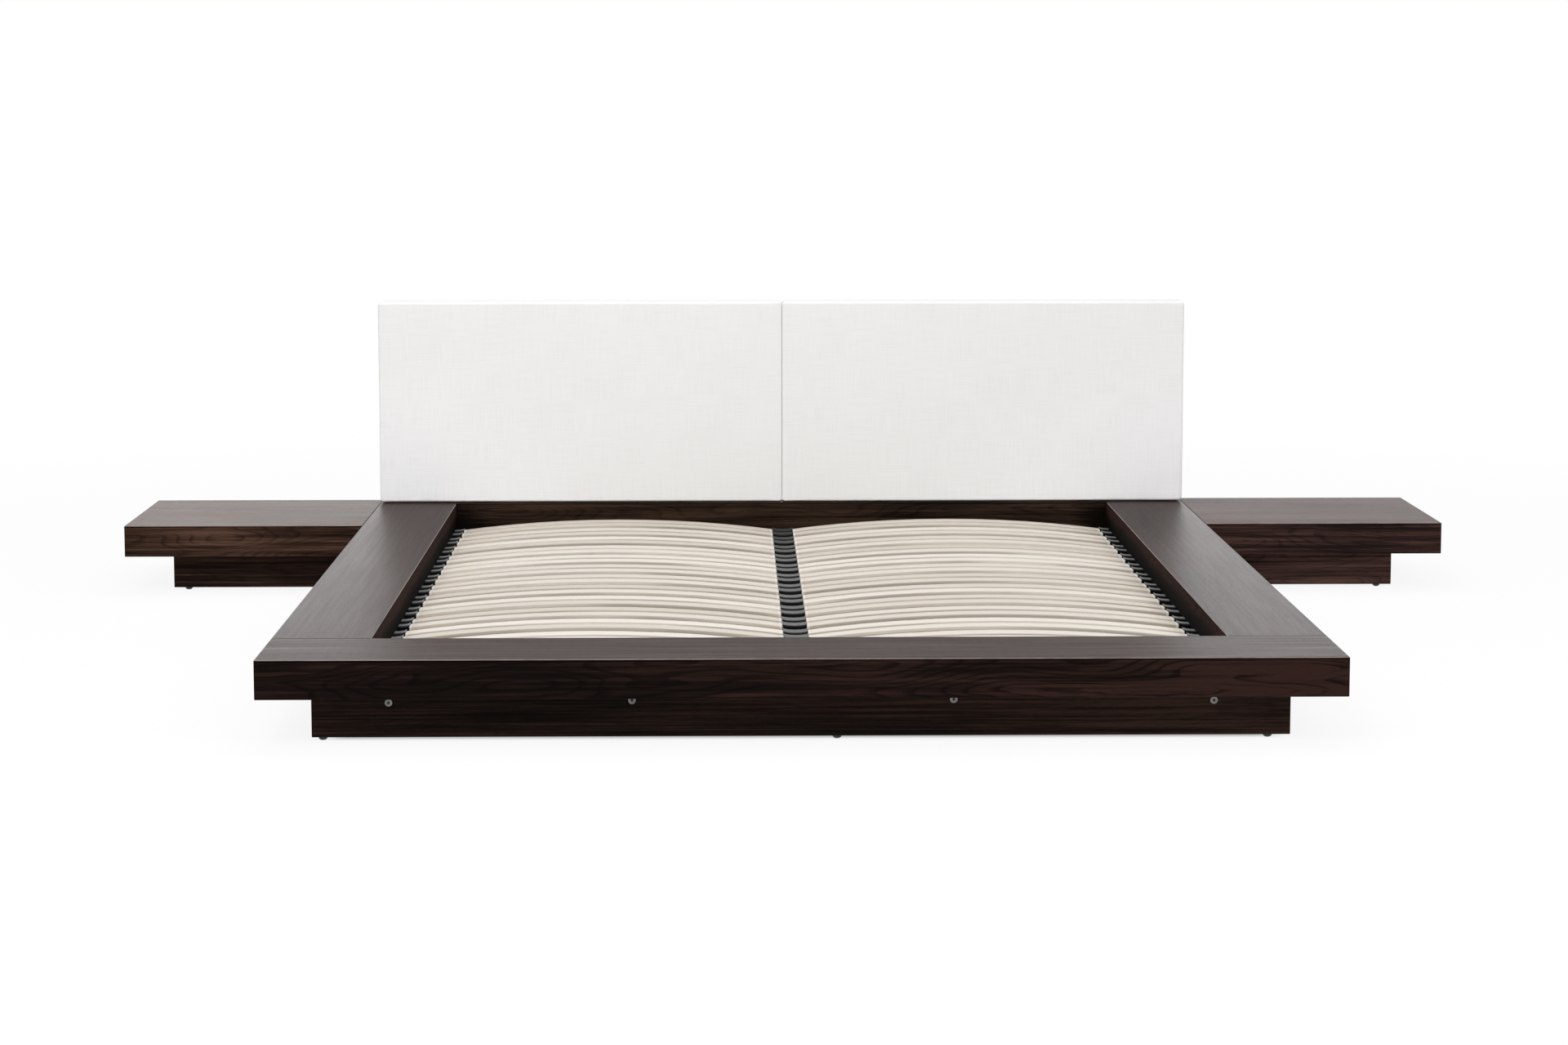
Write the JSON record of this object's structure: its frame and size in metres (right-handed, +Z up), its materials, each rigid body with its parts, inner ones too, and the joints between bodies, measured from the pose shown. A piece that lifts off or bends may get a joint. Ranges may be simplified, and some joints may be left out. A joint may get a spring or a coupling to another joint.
{
  "type": "platform bed",
  "caption": "Low wooden platform bed for a double mattress, with a bedside shelf joined to each side, a linen headboard in two panels and a sprung slat base.",
  "frame": {"origin": "on the floor, under the middle of the whole bed with its bedside shelves and headboard straps", "axes": "+X to the right of someone at the foot who looks at the headboard, +Y from foot to head, +Z up"},
  "size_m": [2.97, 2.365, 0.633],
  "materials": {
    "walnut": "dark stained walnut veneer, satin",
    "dark_walnut": "near-black stained veneer, satin",
    "plywood": "raw softwood and plywood",
    "birch": "lacquered bent birch",
    "holder_plastic": "moulded, matte black",
    "cover_fabric": "off-white slubbed linen weave",
    "foam": "upholstery foam",
    "dust_cloth": "black non-woven cloth on thin board",
    "painted_steel": "black powder coat",
    "zinc_steel": "zinc plated",
    "rubber": "black rubber",
    "glide_plastic": "hard black plastic"
  },
  "bodies": {
    "root": {"foot_rail": "walnut", "foot_rail_underside": "plywood", "side_rail_left": "walnut", "side_rail_right": "walnut", "side_rail_left_underside": "plywood", "side_rail_right_underside": "plywood", "head_rail": "walnut", "rail_dowels": "birch", "shelf_left_top": "walnut", "shelf_right_top": "walnut", "shelf_left_underside": "plywood", "shelf_right_underside": "plywood", "shelf_left_plinth_front": "dark_walnut", "shelf_right_plinth_front": "dark_walnut", "shelf_left_plinth_side": "dark_walnut", "shelf_right_plinth_side": "dark_walnut", "shelf_left_plinth_back": "dark_walnut", "shelf_right_plinth_back": "dark_walnut", "plinth_front": "dark_walnut", "plinth_back_board": "dark_walnut", "plinth_left": "dark_walnut", "plinth_right": "dark_walnut", "corner_blocks": "plywood", "slat_bearer_left": "plywood", "slat_bearer_right": "plywood", "centre_bearer": "plywood", "stringer_left": "plywood", "stringer_right": "plywood", "cross_bars": "plywood", "centre_legs": "plywood", "slats_left": "birch", "slats_right": "birch", "slat_holders_left": "holder_plastic", "slat_holders_right": "holder_plastic", "slat_holders_centre": "holder_plastic", "headboard_left_cover": "cover_fabric", "headboard_right_cover": "cover_fabric", "headboard_left_foam": "foam", "headboard_right_foam": "foam", "headboard_left_frame": "plywood", "headboard_right_frame": "plywood", "headboard_left_back": "dust_cloth", "headboard_right_back": "dust_cloth", "headboard_straps": "painted_steel", "strap_bolts": "zinc_steel", "headboard_spacers": "rubber", "plinth_bolts": "zinc_steel", "barrel_nuts": "zinc_steel", "angle_brackets": "zinc_steel", "joining_plates": "zinc_steel", "wood_screws": "zinc_steel", "glides": "glide_plastic"}
  },
  "joints": []
}
